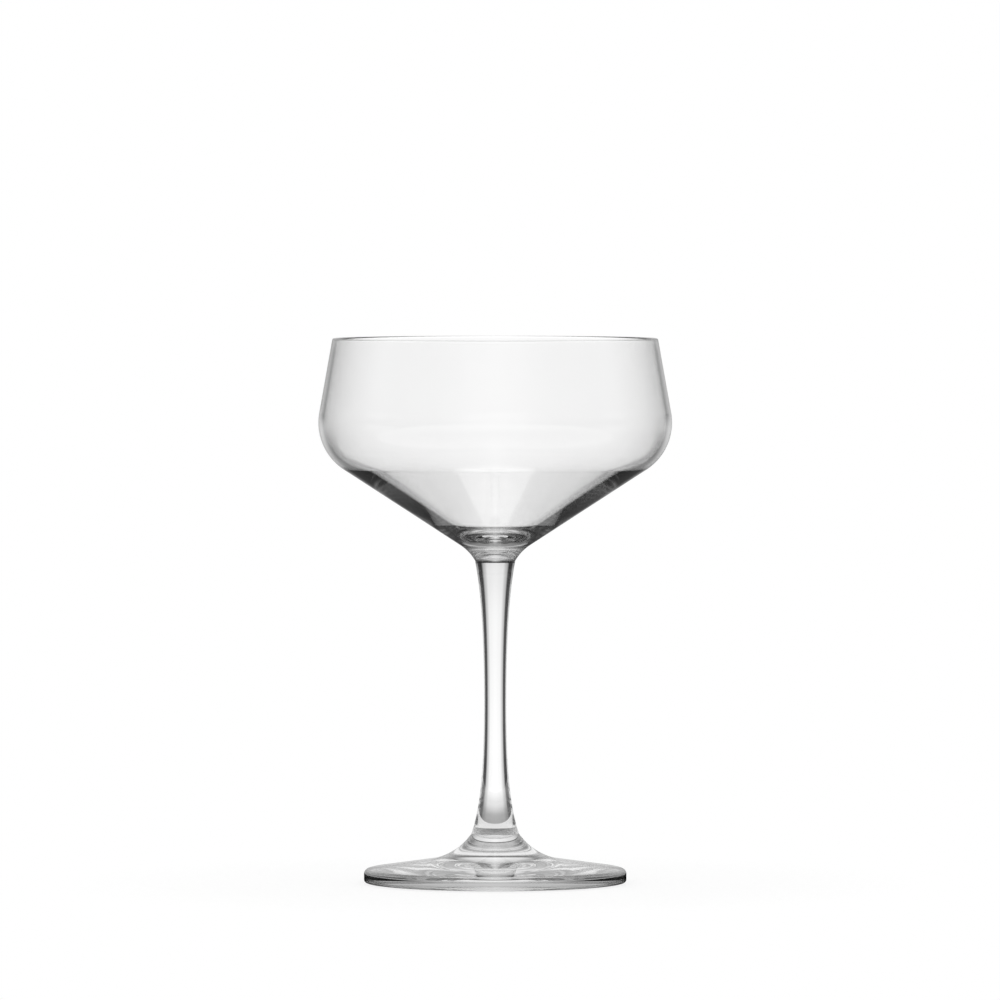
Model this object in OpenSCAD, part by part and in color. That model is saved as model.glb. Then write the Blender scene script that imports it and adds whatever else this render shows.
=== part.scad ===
// Coupe glass: a shallow bowl with a short solid neck, a drawn-in stem and a heavy disc foot.
// All three are turned shapes on the Z axis. They meet face to face in two flat fused joints.
// The origin is the centre of the foot's underside, on the table. Millimetres, +Z up.

/* [Bowl] */
// Height of the bowl, from the joint under its neck to the rim
bowl_h = 67.4; // [58:0.1:80]
// Outside diameter at the rim
rim_d = 98.8; // [90:0.1:104]
// Outside diameter at the widest place
bowl_d = 107.2; // [105:0.1:120]
// Height of the widest place above the joint
widest_h = 41.9; // [36:0.1:48]
// Outside radius of the rounded shoulder
shoulder_r = 17; // [12:0.1:22]
// Inside radius of the rounded shoulder
shoulder_inside_r = 15.4; // [10:0.1:20]
// Thickness of the fire-polished rim
rim_t = 1.3; // [0.9:0.1:2.4]
// Thickness of the wall at the widest place
side_t = 1.6; // [1.2:0.1:3]
// Thickness of the sloping wall where it leaves the shoulder
slope_t = 1.7; // [1.2:0.1:3.5]
// Radius of the rounded bottom inside the bowl
bottom_r = 35; // [14:0.5:40]
// Height of the inside's lowest point above the joint
bottom_h = 8.3; // [7:0.1:12]

/* [Neck under the bowl] */
// Diameter of the neck at the joint with the stem
neck_d = 12.2; // [11:0.1:16]
// Radius of the hollow curve from the slope down to the neck
neck_curve_r = 14; // [8:0.1:18]
// Lean of the neck's surface at the joint, in degrees from upright
neck_lean = 30; // [18:1:40]

/* [Stem] */
// Length of the stem between its two joints
stem_l = 82.8; // [60:0.1:110]
// Diameter that the stem draws in towards at its waist
waist_d = 6; // [5.5:0.1:9]
// Length over which the stem widens to the neck
upper_flare = 16; // [8:0.1:18]
// Length over which the stem widens to the foot
lower_flare = 12.5; // [6:0.1:14]

/* [Foot] */
// Diameter of the foot
foot_d = 79.6; // [68:0.1:92]
// Height of the foot at the joint with the stem
foot_h = 14.8; // [12:0.1:20]
// Diameter of the foot's boss at the joint with the stem
boss_d = 14.4; // [12:0.1:18]
// Radius of the hollow curve from the boss out to the disc
boss_curve_r = 19; // [18:0.5:26]
// Lean of the boss's surface at the joint, in degrees from upright
boss_lean = 35; // [30:1:42]
// Thickness of the disc at its edge
edge_t = 4.2; // [3.2:0.1:5]
// Radius of the edge's upper corner
edge_upper_r = 1.6; // [0.8:0.1:2]
// Radius of the edge's lower corner
edge_lower_r = 0.9; // [0.4:0.1:1.1]
// Width of the flat ring that rests on the table
rest_w = 3.2; // [2:0.1:6]
// Depth of the hollow under the foot
hollow_t = 1; // [0.6:0.1:2]

/* [Hidden] */

glass_tint = [0.93, 0.95, 0.95, 0.45];
round_sides = 180;   // facets round the axis when previewed
arc_step = 4;        // degrees between the points of an arc
stem_steps = 64;     // rings along the stem

stem_z = foot_h;
bowl_z = foot_h + stem_l;

// A point at an angle on a circle. Places are [distance from the axis, height].
function on_circle(centre, radius, angle) = centre + radius * [cos(angle), sin(angle)];

// An arc as points, from one angle to another either way round.
function arc(centre, radius, from, to) =
    let (steps = max(2, ceil(abs(to - from) / arc_step)))
    [for (i = [0:steps]) on_circle(centre, radius, from + (to - from) * i / steps)];

// The angle of the normal of a line that touches two circles. A circle that lies on the
// far side of the line, as a hollow curve's does, has a negative radius. turn picks the side.
function touching_angle(a, a_radius, b, b_radius, turn) =
    let (way = b - a)
    atan2(way[1], way[0]) + turn * acos((a_radius - b_radius) / norm(way));

// The bowl's outline, with its joint at height zero.
rim_r = rim_t / 2;
rim_centre = [rim_d / 2 - rim_r, bowl_h - rim_r];
shoulder_centre = [bowl_d / 2 - shoulder_r, widest_h];
neck_centre = [neck_d / 2, 0] + neck_curve_r * [cos(neck_lean), -sin(neck_lean)];

wall_angle = touching_angle(rim_centre, rim_r, shoulder_centre, shoulder_r, 1);
slope_angle = touching_angle(shoulder_centre, shoulder_r, neck_centre, -neck_curve_r, 1);
slope_normal = [cos(slope_angle), sin(slope_angle)];

// The inside shoulder's circle keeps side_t at the widest place and slope_t at the slope's top.
// Below it the wall thickens towards the rounded bottom, which the inside slope runs into.
inside_x = bowl_d / 2 - side_t - shoulder_inside_r;
inside_slope = slope_normal * shoulder_centre + shoulder_r - slope_t;
inside_centre = [
    inside_x,
    (inside_slope - shoulder_inside_r - slope_normal[0] * inside_x) / slope_normal[1]
];
bottom_centre = [0, bottom_h + bottom_r];
inside_wall_angle = touching_angle(rim_centre, -rim_r, inside_centre, shoulder_inside_r, 1);
inside_slope_angle =
    touching_angle(bottom_centre, bottom_r, inside_centre, shoulder_inside_r, -1);

bowl_outline = concat(
    [[0, 0]],
    arc(neck_centre, neck_curve_r, 180 - neck_lean, 180 + slope_angle),
    arc(shoulder_centre, shoulder_r, slope_angle, wall_angle),
    arc(rim_centre, rim_r, wall_angle, 180 + inside_wall_angle),
    arc(inside_centre, shoulder_inside_r, inside_wall_angle, inside_slope_angle),
    arc(bottom_centre, bottom_r, inside_slope_angle, -90)
);

// The stem's outline. Each flare dies away from its own joint and is nothing at the other.
function dying(distance, reach) =
    (exp(-distance / reach) - exp(-stem_l / reach)) / (1 - exp(-stem_l / reach));
function stem_radius(z) = waist_d / 2
    + (neck_d - waist_d) / 2 * dying(stem_l - z, upper_flare)
    + (boss_d - waist_d) / 2 * dying(z, lower_flare);

stem_outline = concat(
    [[0, 0]],
    [for (i = [0:stem_steps]) let (z = stem_l * i / stem_steps) [stem_radius(z), z]],
    [[0, stem_l]]
);

// The foot's outline, from the middle of its hollow underside round the edge to the joint.
rest_outer = foot_d / 2 - edge_lower_r;
rest_inner = rest_outer - rest_w;
hollow_r = (pow(rest_inner, 2) + pow(hollow_t, 2)) / (2 * hollow_t);
hollow_steps = 16;
boss_centre = [boss_d / 2, foot_h] + boss_curve_r * [cos(boss_lean), sin(boss_lean)];
edge_centre = [foot_d / 2 - edge_upper_r, edge_t - edge_upper_r];
top_angle = touching_angle(edge_centre, edge_upper_r, boss_centre, -boss_curve_r, -1);

foot_outline = concat(
    [for (i = [0:hollow_steps]) let (r = rest_inner * i / hollow_steps)
        [r, hollow_t - hollow_r + sqrt(pow(hollow_r, 2) - pow(r, 2))]],
    arc([rest_outer, edge_lower_r], edge_lower_r, -90, 0),
    arc(edge_centre, edge_upper_r, 0, top_angle),
    arc(boss_centre, boss_curve_r, 180 + top_angle, 180 + boss_lean),
    [[0, foot_h]]
);

module turned(outline) {
    rotate_extrude($fn = round_sides) polygon(outline);
}

module foot() {
    color(glass_tint) turned(foot_outline);
}

module stem() {
    color(glass_tint) translate([0, 0, stem_z]) turned(stem_outline);
}

module bowl() {
    color(glass_tint) translate([0, 0, bowl_z]) turned(bowl_outline);
}

foot();
stem();
bowl();
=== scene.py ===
# %% [markdown]
# # A coupe glass, dressed around its fixed frame
#
# A coupe is a stemmed glass with a wide, shallow bowl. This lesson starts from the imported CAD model,
# which says where the foot, the stem and the bowl are. Each of them is then turned again as a much
# finer mesh, because clear glass shows every flat facet that it has. Last come the light, the table
# and the camera, which matter more here than for any other material: glass has no colour of its own
# and only shows the room bent through it.

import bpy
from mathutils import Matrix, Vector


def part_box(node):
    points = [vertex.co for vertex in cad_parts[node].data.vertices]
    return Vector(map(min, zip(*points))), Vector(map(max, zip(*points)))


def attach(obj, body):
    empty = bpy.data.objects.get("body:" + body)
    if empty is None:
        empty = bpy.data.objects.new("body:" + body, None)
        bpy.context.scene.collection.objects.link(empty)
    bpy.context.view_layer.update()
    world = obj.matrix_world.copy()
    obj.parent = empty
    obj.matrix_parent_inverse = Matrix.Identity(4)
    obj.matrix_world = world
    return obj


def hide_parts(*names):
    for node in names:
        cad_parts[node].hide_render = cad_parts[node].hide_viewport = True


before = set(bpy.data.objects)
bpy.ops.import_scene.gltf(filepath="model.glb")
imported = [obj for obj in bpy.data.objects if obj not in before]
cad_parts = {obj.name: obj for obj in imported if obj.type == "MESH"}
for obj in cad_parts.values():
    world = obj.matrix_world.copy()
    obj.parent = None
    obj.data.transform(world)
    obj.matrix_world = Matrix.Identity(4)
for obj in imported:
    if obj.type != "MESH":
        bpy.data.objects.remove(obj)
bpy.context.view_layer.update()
print("The frame holds", ", ".join(sorted(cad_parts)))

# %% Bring in what the lesson needs
import math

import bmesh
import bpy
from mathutils import Vector

# %% [markdown]
# ## Sizes
#
# The frame gives each part's box: how far it reaches from the axis, and the heights of its bottom and
# top. What a box can't show, such as the thickness of a wall, is written further down, beside the
# part that it belongs to. All those sizes are in millimetres, as on a glassmaker's drawing.

# %% Read the parts' boxes
MM = 0.001


def part_size(node):
    """How far a part reaches from the axis, then the heights of its bottom and its top."""
    low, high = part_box(node)
    reach = min(-low.x, high.x, -low.y, high.y)
    return reach / MM, low.z / MM, high.z / MM


foot_reach, table_z, foot_joint_z = part_size("foot")
boss_radius, _, neck_joint_z = part_size("stem")
bowl_reach, _, rim_z = part_size("bowl")
for node in sorted(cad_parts):
    print(node, "reaches %.1f mm, from %.1f to %.1f mm high" % part_size(node))

# %% [markdown]
# ## Outlines
#
# Everything on this glass is round about one axis. A turned part is fully described by half of its
# section: a line of points, each with its distance from the axis and its height. Real glass is
# shaped by gravity and by smooth tools, so its section is made of arcs that run into each other. The
# helpers below place points on an arc, find where a straight line touches two circles, and join the
# stretches. On the arcs the points stay close together, so that light bends smoothly from one facet
# to the next. A straight run needs few.

# %% Arcs and straight runs
ARC_STEP = 2.0         # degrees from one point of an arc to the next, at most
ARC_LENGTH = 0.25      # and millimetres
RUN_LENGTH = 3.0       # millimetres from one point of a straight run to the next, at most
SAME_PLACE = 0.0001    # points closer than this, in millimetres, are one point


def on_circle(centre, radius, angle):
    """The point at an angle, in degrees, on a circle."""
    turn = math.radians(angle)
    return (centre[0] + radius * math.cos(turn), centre[1] + radius * math.sin(turn))


def arc(centre, radius, start, end):
    """Points along a circle from one angle to another, either way round."""
    sweep = abs(end - start)
    by_angle = math.ceil(sweep / ARC_STEP)
    by_length = math.ceil(math.radians(sweep) * radius / ARC_LENGTH)
    steps = max(2, by_angle, by_length)
    return [on_circle(centre, radius, start + (end - start) * i / steps) for i in range(steps + 1)]


def touching_angle(a, a_radius, b, b_radius, side=1):
    """The angle of the normal of a line that touches two circles.

    A circle beyond the line, such as a hollow curve's, has a negative radius.
    """
    way = (b[0] - a[0], b[1] - a[1])
    lean = math.acos((a_radius - b_radius) / math.hypot(*way))
    return math.degrees(math.atan2(way[1], way[0]) + side * lean)


def join(*stretches):
    """One outline from several stretches, with straight runs between them."""
    outline = [stretches[0][0]]
    for stretch in stretches:
        for point in stretch:
            last = outline[-1]
            gap = math.dist(last, point)
            if gap <= SAME_PLACE:
                continue
            steps = max(1, math.ceil(gap / RUN_LENGTH))
            for i in range(1, steps + 1):
                share = i / steps
                outline.append((last[0] + (point[0] - last[0]) * share,
                                last[1] + (point[1] - last[1]) * share))
    return outline


# %% [markdown]
# ## Turning
#
# A lathe in mesh code is short: the outline is spun about the axis, and each point of it leaves a
# ring. Where the outline starts and ends on the axis, the rings shrink to one point, so the piece
# comes out closed, which glass needs: light has to enter and leave it. 192 facets round the widest
# ring leave it 0.007 mm off the true circle.

# %% A lathe
SIDES = 192
CREASE = math.radians(25)    # an edge sharper than this stays a crisp edge


def turn(name, outline):
    """A closed glass piece from its outline in millimetres."""
    shape = bmesh.new()
    points = [shape.verts.new((radius * MM, 0, height * MM)) for radius, height in outline]
    edges = [shape.edges.new(pair) for pair in zip(points, points[1:])]
    bmesh.ops.spin(shape, geom=points + edges, axis=(0, 0, 1), cent=(0, 0, 0),
                   steps=SIDES, angle=math.tau, use_merge=True)
    bmesh.ops.remove_doubles(shape, verts=shape.verts, dist=SAME_PLACE * MM)
    bmesh.ops.recalc_face_normals(shape, faces=shape.faces)
    for face in shape.faces:
        face.smooth = True
    for edge in shape.edges:
        edge.smooth = edge.calc_face_angle(0) < CREASE
    mesh = bpy.data.meshes.new(name)
    shape.to_mesh(mesh)
    shape.free()
    piece = bpy.data.objects.new(name, mesh)
    bpy.context.scene.collection.objects.link(piece)
    triangles = sum(len(face.vertices) - 2 for face in mesh.polygons)
    print(name, "has", len(outline), "points in its outline and", triangles, "triangles")
    return piece

# %% [markdown]
# ## Node helpers
#
# The glass, the table and the room are all described by small networks of nodes. A few helpers keep
# them short to write. The first adds a node and sets its sockets, and the next does a sum. Then come
# one that gives a grey level for each place along a scale, such as "pale at the horizon, darker above
# it", and one that picks between two levels.

# %% Helpers for nodes
def add(tree, kind, **settings):
    """A new node. Each setting names a socket, with _ for a space, and gives a value or an output."""
    node = tree.nodes.new("ShaderNode" + kind)
    for name, value in settings.items():
        socket = node.inputs[name.replace("_", " ")]
        if isinstance(value, bpy.types.NodeSocket):
            tree.links.new(value, socket)
        else:
            socket.default_value = value
    return node


def sum_of(tree, operation, *values):
    """A Math node's result. The values are numbers or outputs."""
    node = tree.nodes.new("ShaderNodeMath")
    node.operation = operation
    for socket, value in zip(node.inputs, values):
        if isinstance(value, bpy.types.NodeSocket):
            tree.links.new(value, socket)
        else:
            socket.default_value = value
    return node.outputs[0]


def grey_scale(tree, value, levels):
    """Grey levels along a scale, with soft changes from one to the next: {place: level}."""
    places = sorted(levels)
    first, last = places[0], places[-1]
    share = add(tree, "MapRange", Value=value, From_Min=first, From_Max=last)
    node = add(tree, "ValToRGB", Fac=share.outputs["Result"])
    ramp = node.color_ramp
    ramp.interpolation = "EASE"
    while len(ramp.elements) < len(places):
        ramp.elements.new(1)
    for stop, place in zip(ramp.elements, places):
        stop.position = (place - first) / (last - first)
        stop.color = (levels[place],) * 3 + (1,)
    return node.outputs["Color"]


def pick(tree, choice, no, yes):
    """One of two levels, or a mix of them: choice is 0 for no and 1 for yes."""
    return add(tree, "MapRange", Value=choice, To_Min=no, To_Max=yes).outputs["Result"]


def clear_tree(owner):
    """An empty node tree on a material or a world."""
    owner.use_nodes = True
    owner.node_tree.nodes.clear()
    return owner.node_tree


# %% [markdown]
# ## Glass
#
# Clear glass has one finish with three moods. The foot was pressed and then fire-polished, so its
# skin has very faint waves. The stem was drawn, which leaves streaks along it. The bowl was blown, so
# its wall is never quite even and the room behind it wavers a little. All three are the same
# Principled shader with full transmission; noise bends its normal by a hair and varies its roughness.
# Light that reaches the table through bent glass is hard to follow, so shadow rays and the table's
# own bounces pass through a lightly tinted Transparent shader instead. The glass then throws the
# soft, faint shadow of clear glass.

# %% A maker of clear glass
BENDING = 1.52            # index of refraction of clear glass
POLISH = (0.0, 0.012)     # roughness where the skin is best and worst
SHADOW_TINT = 0.93        # how much light each surface lets through to the table
CLEARNESS = 0.992         # how much colour each surface lets through: nearly all, and no tint


def clear_glass(name, grain, stretch, wave_height):
    """A glass whose skin waves by wave_height metres, with grain waves a metre, stretched by axis."""
    material = bpy.data.materials.new(name)
    tree = clear_tree(material)
    place = add(tree, "TexCoord").outputs["Object"]
    stretched = add(tree, "Mapping", Vector=place, Scale=stretch).outputs["Vector"]
    waves = add(tree, "TexNoise", Vector=stretched, Scale=grain, Detail=1.0, Roughness=0.4)
    bent = add(tree, "Bump", Height=waves.outputs["Fac"], Distance=wave_height)
    wipes = add(tree, "TexNoise", Vector=place, Scale=grain * 3, Detail=3.0)
    polish = add(tree, "MapRange", Value=wipes.outputs["Fac"], To_Min=POLISH[0], To_Max=POLISH[1])
    glass = add(tree, "BsdfPrincipled", Roughness=polish.outputs["Result"],
                Normal=bent.outputs["Normal"], IOR=BENDING)
    glass.inputs["Base Color"].default_value = (CLEARNESS,) * 3 + (1,)
    glass.inputs["Transmission Weight"].default_value = 1
    rays = add(tree, "LightPath").outputs
    passing = sum_of(tree, "MAXIMUM", rays["Is Shadow Ray"], rays["Is Diffuse Ray"])
    through = add(tree, "BsdfTransparent", Color=(SHADOW_TINT,) * 3 + (1,))
    mixed = add(tree, "MixShader", Fac=passing)
    tree.links.new(glass.outputs[0], mixed.inputs[1])
    tree.links.new(through.outputs[0], mixed.inputs[2])
    out = add(tree, "OutputMaterial", Surface=mixed.outputs[0])
    print(name, "is made of", len(tree.nodes), "nodes")
    return material


def finish(piece, material, node):
    """Gives a piece its glass, and its place in the frame."""
    piece.data.materials.append(material)
    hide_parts(node)
    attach(piece, "root")


# %% [markdown]
# ## The foot
#
# The foot is a gather of glass that was pressed and spun flat. It is thick enough to feel heavy. Its
# edge is rounded by the flame, more above than below, and it rests on a narrow ring, because a
# shallow hollow in its underside keeps it from rocking. Its top rises in one long hollow curve to
# the boss under the stem. It is outlined from the middle of the hollow round to the joint.

# %% Outline and turn the foot
edge_height = 4.2
edge_upper_r = 1.6
edge_lower_r = 0.9
rest_width = 3.2
hollow_depth = 1.0
boss_curve_r = 19.0
boss_lean = 35        # degrees from upright, at the joint

rest_outer = foot_reach - edge_lower_r
rest_inner = rest_outer - rest_width
hollow_r = (rest_inner ** 2 + hollow_depth ** 2) / (2 * hollow_depth)
hollow_sweep = math.degrees(math.asin(rest_inner / hollow_r))
boss_centre = on_circle((boss_radius, foot_joint_z), boss_curve_r, boss_lean)
edge_centre = (foot_reach - edge_upper_r, edge_height - edge_upper_r)
top_angle = touching_angle(edge_centre, edge_upper_r, boss_centre, -boss_curve_r, -1)

foot_outline = join(
    arc((0, hollow_depth - hollow_r), hollow_r, 90, 90 - hollow_sweep),
    arc((rest_outer, edge_lower_r), edge_lower_r, -90, 0),
    arc(edge_centre, edge_upper_r, 0, top_angle),
    arc(boss_centre, boss_curve_r, 180 + top_angle, 180 + boss_lean),
    [(0, foot_joint_z)],
)
foot = turn("glass_foot", foot_outline)
finish(foot, clear_glass("pressed glass", grain=90, stretch=(1, 1, 1), wave_height=0.00001), "foot")

# %% [markdown]
# ## The stem
#
# The stem was drawn out of the bowl's own glass while it was soft. It thins towards a waist, and at
# both ends it flares out into the part that it was fused to. Drawn glass thins the way that a
# stretched drop does, quickly near its ends and hardly at all in the middle, so each flare here dies
# away with distance from its joint. The stem reaches a hair into its neighbours: the joints are
# melted together, and a film of air between them would flash like a mirror.

# %% Outline and turn the stem
waist_radius = 3.0
neck_radius = 6.1
upper_flare = 16.0
lower_flare = 12.5
STEM_RINGS = 110
MELT = 0.01           # how far the stem reaches into the bowl and the foot

stem_length = neck_joint_z - foot_joint_z


def dying(distance, reach):
    """1 at a joint, and nothing at the stem's other end."""
    end = math.exp(-stem_length / reach)
    return (math.exp(-distance / reach) - end) / (1 - end)


def stem_radius(height):
    """The stem's radius at a height above its lower joint."""
    upper = (neck_radius - waist_radius) * dying(stem_length - height, upper_flare)
    lower = (boss_radius - waist_radius) * dying(height, lower_flare)
    return waist_radius + upper + lower


stem_side = []
for ring in range(STEM_RINGS + 1):
    height = stem_length * ring / STEM_RINGS
    stem_side.append((stem_radius(height), foot_joint_z + height))
stem_side[0] = (boss_radius, foot_joint_z - MELT)
stem_side[-1] = (neck_radius, neck_joint_z + MELT)

stem = turn("glass_stem", join([(0, foot_joint_z - MELT)], stem_side, [(0, neck_joint_z + MELT)]))
finish(stem, clear_glass("drawn glass", grain=160, stretch=(1, 1, 0.12), wave_height=0.000004), "stem")
print("The stem is %.1f mm thick at its waist" % (2 * min(radius for radius, _ in stem_side)))

# %% [markdown]
# ## The bowl
#
# The bowl was blown in a turning mould. Its wall leans in slightly to a fire-polished rim, which is
# a little rounded bead. Below the widest place a shoulder turns into a straight slope, and the wall
# thickens down the slope to the heavy rounded bottom over the neck. That thick glass bends light
# the most, and it gives the dark strokes along the slope that show a glass to be glass.

# %% Outline and turn the bowl
rim_radius = 49.4
rim_bead_r = 0.65
widest_height = 41.9      # above the joint
shoulder_r = 17.0
shoulder_inside_r = 15.4
side_wall = 1.6
slope_wall = 1.7          # where the slope leaves the shoulder
bottom_r = 35.0
bottom_height = 8.3       # of the inside, above the joint
neck_curve_r = 14.0
neck_lean = 30            # degrees from upright, at the joint

rim_centre = (rim_radius - rim_bead_r, rim_z - rim_bead_r)
shoulder_centre = (bowl_reach - shoulder_r, neck_joint_z + widest_height)
neck_centre = on_circle((neck_radius, neck_joint_z), neck_curve_r, -neck_lean)
wall_angle = touching_angle(rim_centre, rim_bead_r, shoulder_centre, shoulder_r)
slope_angle = touching_angle(shoulder_centre, shoulder_r, neck_centre, -neck_curve_r)

# The inside shoulder keeps side_wall at the widest place and slope_wall at the slope's top.
across, down = on_circle((0, 0), 1, slope_angle)
inside_reach = across * shoulder_centre[0] + down * shoulder_centre[1] + shoulder_r - slope_wall
inside_x = bowl_reach - side_wall - shoulder_inside_r
inside_centre = (inside_x, (inside_reach - shoulder_inside_r - across * inside_x) / down)
bottom_centre = (0, neck_joint_z + bottom_height + bottom_r)
inside_wall_angle = touching_angle(rim_centre, -rim_bead_r, inside_centre, shoulder_inside_r)
inside_slope_angle = touching_angle(bottom_centre, bottom_r, inside_centre, shoulder_inside_r, -1)

bowl_outline = join(
    [(0, neck_joint_z), (neck_radius, neck_joint_z)],
    arc(neck_centre, neck_curve_r, 180 - neck_lean, 180 + slope_angle),
    arc(shoulder_centre, shoulder_r, slope_angle, wall_angle),
    arc(rim_centre, rim_bead_r, wall_angle, 180 + inside_wall_angle),
    arc(inside_centre, shoulder_inside_r, inside_wall_angle, inside_slope_angle),
    arc(bottom_centre, bottom_r, inside_slope_angle, -90),
)
bowl = turn("glass_bowl", bowl_outline)
finish(bowl, clear_glass("blown glass", grain=30, stretch=(1, 1, 0.6), wave_height=0.00002), "bowl")
print("The outer slope leans %.1f degrees and the inner one %.1f" % (-slope_angle, -inside_slope_angle))

# %% [markdown]
# ## The room
#
# A photographer lights clear glass from behind. The bright ground shines straight through the thin
# walls, and dark surroundings are bent into the thick glass at the edges, where they draw its
# outline. Here wide, soft panels stand round the table on four sides, with dark corners between
# them, so the glass has its outline from every side. The camera itself sees plain white, and the
# table is lit by an even dome, so the panels only show through the glass and on its skin.
#
# Light Path tells the ways apart in which a ray can reach the room. The helpers below use it, and
# they measure a direction by how far it lies aside from straight ahead or behind.

# %% Directions, and the ways in which a ray reaches the room
WHITE = 1.0
ONE_WALL = 3    # a ray through the stem, or through one wall, crosses no more surfaces than this


def degrees_aside(tree, parts):
    """How far a direction or a place lies aside from straight ahead or behind: 90 is a side."""
    across = sum_of(tree, "ABSOLUTE", parts["X"])
    ahead = sum_of(tree, "ABSOLUTE", parts["Y"])
    return sum_of(tree, "DEGREES", sum_of(tree, "ARCTAN2", across, ahead))


def seen_by(tree, plain, straight, bounced, mirrored):
    """Plain light for the camera and for the table, and other light for what the glass shows.

    A ray that was only bent sees the straight light, and one that was also reflected inside the
    glass sees the bounced light. The outer skin mirrors the mirrored light.
    """
    rays = add(tree, "LightPath").outputs
    inside = rays["Is Transmission Ray"]
    outside = sum_of(tree, "SUBTRACT", rays["Is Glossy Ray"], inside)
    bounces = sum_of(tree, "MINIMUM", rays["Glossy Depth"], 1)
    through = pick(tree, bounces, straight, bounced)
    return pick(tree, inside, pick(tree, outside, plain, mirrored), through)


def through_bowl(tree):
    """1 for a ray that crossed both walls of the bowl, which are four surfaces, and 0 for others."""
    crossed = add(tree, "LightPath").outputs["Transmission Depth"]
    return sum_of(tree, "GREATER_THAN", crossed, ONE_WALL)


# %% [markdown]
# ## How bright each direction is
#
# The levels below are the studio's lighting plan, in degrees. The panels are brightest low down and
# fade above the rim. Far enough below the horizon the ground is bright all round, so the corners stay
# out of sight when someone looks down at the glass. They end higher for the bowl, whose two walls
# show more of the ground than the stem does.
#
# Light that bounces about inside the glass before it leaves comes from a dimmer room, with dark sides
# and a dark strip just over the horizon. It gives the neck, the boss and the slope their dark
# strokes. The strip stays behind the glass: in front of it, it would draw faint lines across the
# bowl. The skin mirrors a room that is dark near the table and brightest above the horizon.

# %% The lighting plan: {degrees: level}
PANEL_LIGHT = 1.1    # makes up for what the walls themselves take away
panel_aside = {0: 1, 17: 0.95, 27: 0.62, 37: 0.03, 53: 0.03, 63: 0.62, 73: 0.95, 90: 1}
panel_up = {-17: 1, -6: 0.98, 0: 0.92, 7: 0.82, 17: 0.48, 37: 0.33}
low_ground = {-13: 1, -11: 0}
low_ground_in_bowl = {-12: 1, -7: 0}
bounced_aside = {0: 1, 15: 0.8, 30: 0.35, 45: 0.04, 70: 0.04, 90: 0.3}
bounced_up = {-17: 0.35, -5: 0.9, 3: 0.04, 7: 0.03, 14: 1, 27: 0.85, 44: 0.65, 90: 0.6}
front_up = {-17: 0.35, -5: 0.6}
in_front = {-0.5: 1, 0: 0}    # along Y, which is less than 0 towards the camera
mirrored_up = {-17: 0.1, 0: 0.55, 17: 1, 44: 0.65, 90: 0.8}
print("The panels fade to", min(panel_aside.values()), "in the corners")

# %% Make the world
world = bpy.data.worlds.new("studio")
bpy.context.scene.world = world
world.cycles.sampling_method = "NONE"
tree = clear_tree(world)
direction = add(tree, "TexCoord").outputs["Generated"]
parts = add(tree, "SeparateXYZ", Vector=direction).outputs
aside = degrees_aside(tree, parts)
up = sum_of(tree, "DEGREES", sum_of(tree, "ARCSINE", parts["Z"]))

low = pick(tree, through_bowl(tree), grey_scale(tree, up, low_ground),
           grey_scale(tree, up, low_ground_in_bowl))
panels = pick(tree, low, grey_scale(tree, aside, panel_aside), WHITE)
straight = sum_of(tree, "MULTIPLY", panels, grey_scale(tree, up, panel_up))
straight = sum_of(tree, "MULTIPLY", straight, PANEL_LIGHT)
by_height = pick(tree, grey_scale(tree, parts["Y"], in_front),
                 grey_scale(tree, up, bounced_up), grey_scale(tree, up, front_up))
bounced = sum_of(tree, "MULTIPLY", grey_scale(tree, aside, bounced_aside), by_height)
mirrored = grey_scale(tree, up, mirrored_up)
light = seen_by(tree, WHITE, straight, bounced, mirrored)
background = add(tree, "Background", Color=light, Strength=1.0)
add(tree, "OutputWorld", Surface=background.outputs[0])
print("The world has", len(tree.nodes), "nodes")

# %% [markdown]
# ## The table
#
# The glass stands on a plain white table, a round one, which goes over into the white ground before
# its edge. Seen directly it is as white as that ground, apart from the faint shadow under the foot.
# Seen through the glass it shows painted shade: it is duller near the foot, where the glass would shade
# it, and the darker corners of the room are painted on it. Through both walls of the bowl those
# painted corners are hardly there, because the bowl lets a viewer look down on the whole table.

# %% A round table, in metres
TABLE_RADIUS = 0.145
TABLE_DROP = 0.0003    # below the resting ring, so that no two faces lie in one plane
TABLE_SIDES = 128

table_mesh = bpy.data.meshes.new("table")
corners = []
for side in range(TABLE_SIDES):
    turn_angle = math.tau * side / TABLE_SIDES
    corners.append((TABLE_RADIUS * math.cos(turn_angle), TABLE_RADIUS * math.sin(turn_angle),
                    table_z * MM - TABLE_DROP))
table_mesh.from_pydata(corners, [], [range(TABLE_SIDES)])
table = bpy.data.objects.new("table", table_mesh)
bpy.context.scene.collection.objects.link(table)
print("The table is %.0f mm across" % (2 * TABLE_RADIUS / MM))

# %% [markdown]
# ## The table's painted light and shade
#
# For rays through the glass the table glows with painted light and shade, in the same three kinds
# as the room's light, given by the distance from the glass's axis. Straight through the glass its
# painted shadow is dullest just outside the foot. The bounced light comes mostly from a painted
# bright patch right under the foot, which makes the foot shine, and drops at the foot's edge to draw
# that edge as a painted dark band. Beyond the foot it also falls off to the sides.

# %% The table's plan of painted light and shade: {metres from the axis: level}
# Painted shadow on the table, seen straight through the glass: dullest just outside the foot
painted_shadow_out = {0: 0.8, 0.04: 0.75, 0.05: 0.33, 0.062: 0.36, 0.1: 0.72, 0.145: 0.9}
# The room's dark corners, painted on the table as painted shade beyond the foot
no_painted_corners = {0.04: 1, 0.046: 0}
PAINTED_CORNER_LIGHT = 0.12           # of the table's corners, through the stem
BOWL_PAINTED_CORNER_LIGHT = 0.93      # and through both walls of the bowl
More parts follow.
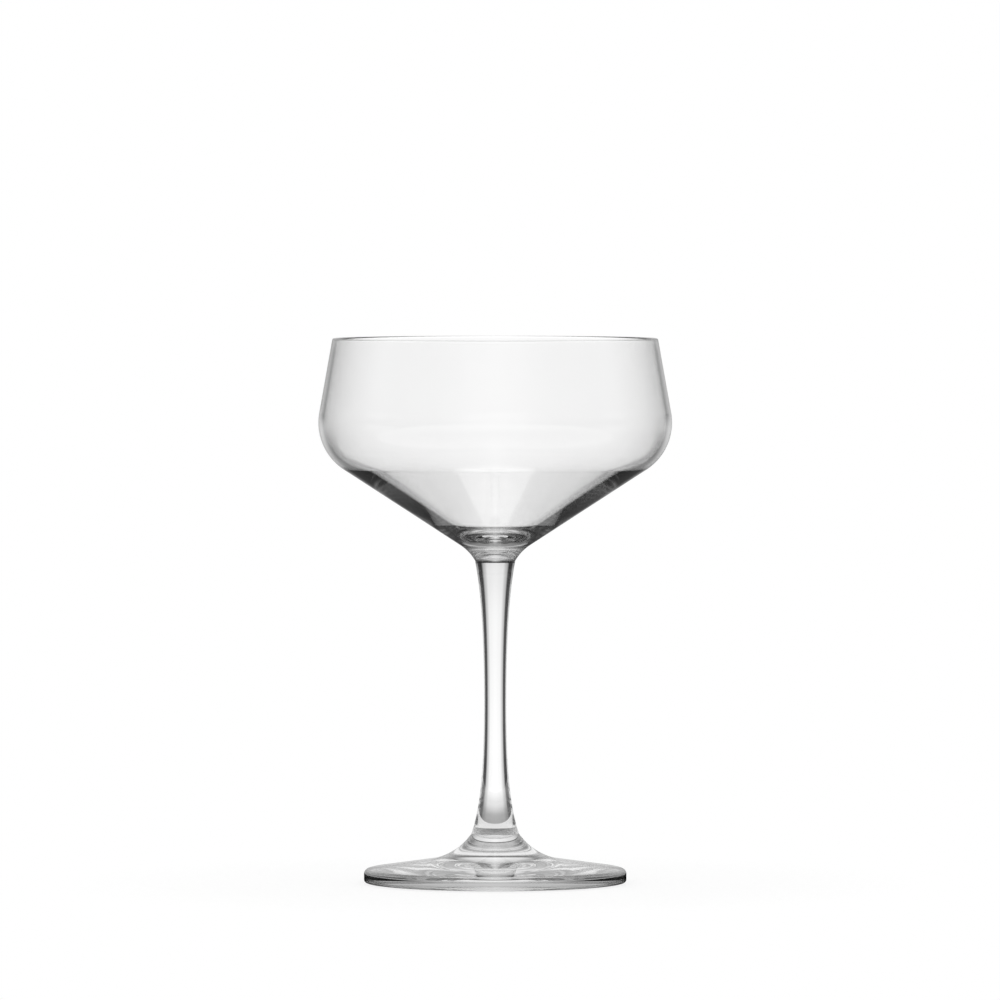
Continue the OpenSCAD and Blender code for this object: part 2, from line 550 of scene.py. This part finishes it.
# Painted light for rays bounced inside the glass: a bright patch under the foot, then a painted dark
# band at its edge
painted_glow_out = {0: 0.25, 0.012: 0.85, 0.036: 0.95, 0.039: 0.4, 0.042: 0.6, 0.055: 0.35, 0.12: 0.35}
under_foot = {0.034: 1, 0.038: 0}
painted_glow_aside = {0: 1, 5: 0.9, 11: 0.35, 60: 0.25, 90: 0.05}    # in degrees
# Painted shade on the table in the glass's reflections: dark at the foot, greyer further out
painted_reflection_shade_out = {0.04: 0, 0.3: 0.5}
shadow_out = {0.08: 1, 0.14: 0}    # where the table, seen directly, turns into the ground
print("The table is dullest at", min(painted_shadow_out.values()), "of the panels' light")

# %% Make the table's painted light and shade
table_material = bpy.data.materials.new("white table")
tree = clear_tree(table_material)
place = add(tree, "NewGeometry").outputs["Position"]
aside = degrees_aside(tree, add(tree, "SeparateXYZ", Vector=place).outputs)
from_axis = add(tree, "VectorMath", Vector=place)
from_axis.operation = "LENGTH"
out = from_axis.outputs["Value"]

# Painted shade: the room's dark corners on the table, kept off from under the foot
painted_corner_light = pick(tree, through_bowl(tree), PAINTED_CORNER_LIGHT, BOWL_PAINTED_CORNER_LIGHT)
painted_corner_evenness = sum_of(tree, "MAXIMUM", grey_scale(tree, out, no_painted_corners), painted_corner_light)
panels = pick(tree, painted_corner_evenness, grey_scale(tree, aside, panel_aside), WHITE)
# painted shadow and painted corners, for rays straight through the glass
straight = sum_of(tree, "MULTIPLY", panels, grey_scale(tree, out, painted_shadow_out))
straight = sum_of(tree, "MULTIPLY", straight, PANEL_LIGHT)
# painted light under the foot, falling off to the sides beyond it
painted_glow_sides = pick(tree, grey_scale(tree, out, under_foot),
             grey_scale(tree, aside, painted_glow_aside), WHITE)
bounced = sum_of(tree, "MULTIPLY", painted_glow_sides, grey_scale(tree, out, painted_glow_out))
# painted shade for the table as the glass's skin mirrors it
mirrored = grey_scale(tree, out, painted_reflection_shade_out)
# Emission: plain white for the camera and the table's own bounces, painted light and shade for rays
# through the glass
seen = add(tree, "Emission", Color=seen_by(tree, WHITE, straight, bounced, mirrored), Strength=1.0)
lit = add(tree, "BsdfDiffuse", Color=(1, 1, 1, 1))
near = grey_scale(tree, out, shadow_out)
shaded = sum_of(tree, "MULTIPLY", near, add(tree, "LightPath").outputs["Is Camera Ray"])
direct = add(tree, "MixShader", Fac=shaded)
tree.links.new(seen.outputs[0], direct.inputs[1])
tree.links.new(lit.outputs[0], direct.inputs[2])
add(tree, "OutputMaterial", Surface=direct.outputs[0])
table_mesh.materials.append(table_material)

# %% [markdown]
# ## The camera
#
# The photographer stood well back with a long lens, a little above the rim, so the rim is a thin
# line and the glass keeps its true proportions. A ray that enters thick glass bounces many times
# before it leaves, so the number of bounces goes up as well: with too few of them thick glass
# turns black inside.

# %% Set up the camera, in metres
CAMERA_DISTANCE = 3.04
CAMERA_HEIGHT = 0.213
AIM_HEIGHT = 0.116
AIM_ASIDE = 0.00145       # the glass stands a few pixels left of the picture's middle
VIEW_WIDTH = 0.303        # how much the picture shows at the glass
SENSOR = 36               # millimetres across the film, the usual size
BOUNCES = 32              # for a ray in thick glass

lens = bpy.data.cameras.new("camera")
camera = bpy.data.objects.new("camera", lens)
bpy.context.scene.collection.objects.link(camera)
camera.location = (AIM_ASIDE, -CAMERA_DISTANCE, CAMERA_HEIGHT)
sight = Vector((AIM_ASIDE, 0, AIM_HEIGHT)) - camera.location
camera.rotation_euler = sight.to_track_quat("-Z", "Y").to_euler()
lens.sensor_width = SENSOR
lens.lens = SENSOR * sight.length / VIEW_WIDTH
bpy.context.scene.camera = camera
bpy.context.scene.view_settings.view_transform = "Standard"
cycles = bpy.context.scene.cycles
cycles.max_bounces = BOUNCES
cycles.transmission_bounces = BOUNCES
cycles.glossy_bounces = BOUNCES
print("A lens of %.0f mm, %.2f m away" % (lens.lens, sight.length))
